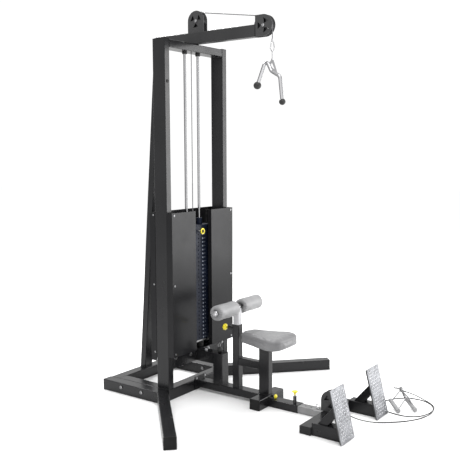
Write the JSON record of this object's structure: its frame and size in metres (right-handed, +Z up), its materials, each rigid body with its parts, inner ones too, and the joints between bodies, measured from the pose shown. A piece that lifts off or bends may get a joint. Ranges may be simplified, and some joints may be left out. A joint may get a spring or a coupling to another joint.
{
  "type": "lat pulldown machine",
  "caption": "Cable strength machine with a weight stack tower, overhead pulldown cable and bar, seat with thigh rollers, and a sliding low row foot frame.",
  "frame": {"origin": "on the floor under the middle of the machine's footprint, the low row cable and its handle left out", "axes": "+Z up, +Y to the rear of the tower, -Y towards the low row foot plates, +X to the right of a user who faces away from the tower"},
  "size_m": [1.9204, 2.0622, 2.595],
  "materials": {
    "frame_black": "gloss powder coat",
    "shield_grey": "satin powder coat",
    "housing_grey": "satin powder coat",
    "plate_iron": "painted",
    "chrome_rod": "polished",
    "bolt_steel": "zinc plated",
    "pin_steel": "black oxide",
    "silver_tube": "satin silver",
    "tread_metal": "raised tread pattern",
    "cable_jacket": "smooth coated wire rope",
    "cap_plastic": "moulded",
    "pulley_plastic": "moulded",
    "knob_yellow": "moulded",
    "rubber_black": "moulded",
    "grip_rubber": "ribbed",
    "vinyl_grey": "stretched vinyl",
    "board_wood": "painted board"
  },
  "bodies": {
    "frame": {"base_rails": "frame_black", "front_legs": "frame_black", "tower_rails": "frame_black", "cross_beams": "frame_black", "frame_caps": "cap_plastic", "frame_bolts": "bolt_steel", "uprights": "frame_black", "top_crossbar": "frame_black", "stack_shelf": "frame_black", "mast": "frame_black", "boom": "frame_black", "pulley_housings": "housing_grey", "top_cable": "cable_jacket", "guide_rods": "chrome_rod", "rod_rubbers": "rubber_black", "weight_plates": "plate_iron", "shield_front_left": "shield_grey", "shield_front_right": "shield_grey", "shield_rear": "shield_grey", "seat_beam": "frame_black", "seat_foot": "frame_black", "stack_post": "frame_black", "thigh_post": "frame_black", "seat_post": "frame_black", "seat_brace": "frame_black", "seat_board": "board_wood", "seat_cushion": "vinyl_grey", "pin_barrels": "pin_steel", "stop_bushing": "frame_black", "receiver": "frame_black"},
    "lifted_stack": {"lifted_plate": "plate_iron", "head_plate": "plate_iron", "selector_stem": "bolt_steel", "stack_cable": "cable_jacket"},
    "stack_pin": {"selector_pin": "bolt_steel"},
    "top_rear_pulley": {"rear_pulley": "pulley_plastic"},
    "top_front_pulley": {"front_pulley": "pulley_plastic"},
    "row_pulley": {"low_pulley": "pulley_plastic"},
    "cable_end": {"handle_cable": "cable_jacket", "lat_clip": "chrome_rod"},
    "lat_bar": {"bar_hanger": "chrome_rod", "pressdown_bar": "chrome_rod", "bar_balls": "rubber_black"},
    "thigh_pad": {"thigh_tube": "silver_tube", "thigh_axle": "chrome_rod"},
    "left_roller": {"roller_left": "vinyl_grey"},
    "right_roller": {"roller_right": "vinyl_grey"},
    "height_pin": {"thigh_pin": "knob_yellow"},
    "seat_stop_pin": {"stop_pin": "knob_yellow"},
    "reach_pin": {"slider_pin": "knob_yellow"},
    "extension": {"slider": "silver_tube", "foot_crossbar": "frame_black", "foot_bases": "frame_black", "foot_struts": "frame_black", "foot_plates": "tread_metal", "low_housing": "housing_grey", "floor_cable": "cable_jacket", "row_frame": "chrome_rod", "row_grips": "grip_rubber", "row_fittings": "bolt_steel"}
  },
  "joints": [
    {"name": "stack_lift", "type": "slide", "parent": "frame", "child": "lifted_stack", "axis": [0, 0, 1], "range_m": [0, 0.8], "deforming": ["stack_cable"]},
    {"name": "pin_pull", "type": "slide", "parent": "lifted_stack", "child": "stack_pin", "axis": [0, -1, 0], "range_m": [0, 0.11]},
    {"name": "handle_drop", "type": "slide", "parent": "frame", "child": "cable_end", "axis": [0, 0, -1], "range_m": [0, 0.8], "deforming": ["handle_cable"]},
    {"name": "bar_swivel", "type": "hinge", "parent": "cable_end", "child": "lat_bar", "pos_m": [0, -0.2275, 2.2262], "axis": [0, 0, 1], "continuous": true},
    {"name": "rear_pulley_spin", "type": "hinge", "parent": "frame", "child": "top_rear_pulley", "pos_m": [0, 0.3653, 2.528], "axis": [1, 0, 0], "range_deg": [0, 810]},
    {"name": "front_pulley_spin", "type": "hinge", "parent": "frame", "child": "top_front_pulley", "pos_m": [0, -0.1705, 2.444], "axis": [1, 0, 0], "range_deg": [0, 810]},
    {"name": "thigh_height", "type": "slide", "parent": "frame", "child": "thigh_pad", "axis": [0, 0, 1], "range_m": [-0.05, 0.1]},
    {"name": "left_roller_spin", "type": "hinge", "parent": "thigh_pad", "child": "left_roller", "pos_m": [0, 0.0459, 0.622], "axis": [1, 0, 0], "continuous": true},
    {"name": "right_roller_spin", "type": "hinge", "parent": "thigh_pad", "child": "right_roller", "pos_m": [0, 0.0459, 0.622], "axis": [1, 0, 0], "continuous": true},
    {"name": "height_pin_pull", "type": "slide", "parent": "frame", "child": "height_pin", "axis": [0, 1, 0], "range_m": [0, 0.012], "stiffness_N_per_m": 1500, "springref_m": -0.002},
    {"name": "stop_pin_pull", "type": "slide", "parent": "frame", "child": "seat_stop_pin", "axis": [0, -1, 0], "range_m": [0, 0.012], "stiffness_N_per_m": 1500, "springref_m": -0.002},
    {"name": "reach_pin_pull", "type": "slide", "parent": "frame", "child": "reach_pin", "axis": [0, 0, 1], "range_m": [0, 0.012], "stiffness_N_per_m": 1500, "springref_m": -0.002},
    {"name": "extension_slide", "type": "slide", "parent": "frame", "child": "extension", "axis": [0, -1, 0], "range_m": [-0.06, 0.08]},
    {"name": "row_pulley_spin", "type": "hinge", "parent": "extension", "child": "row_pulley", "pos_m": [0, -0.6695, 0.118], "axis": [1, 0, 0], "continuous": true}
  ],
  "couplings": [
    {"joint": "handle_drop", "follows": "stack_lift", "ratio": 1},
    {"joint": "rear_pulley_spin", "follows": "stack_lift", "rad_per_m": 17.544},
    {"joint": "front_pulley_spin", "follows": "stack_lift", "rad_per_m": 17.544}
  ]
}
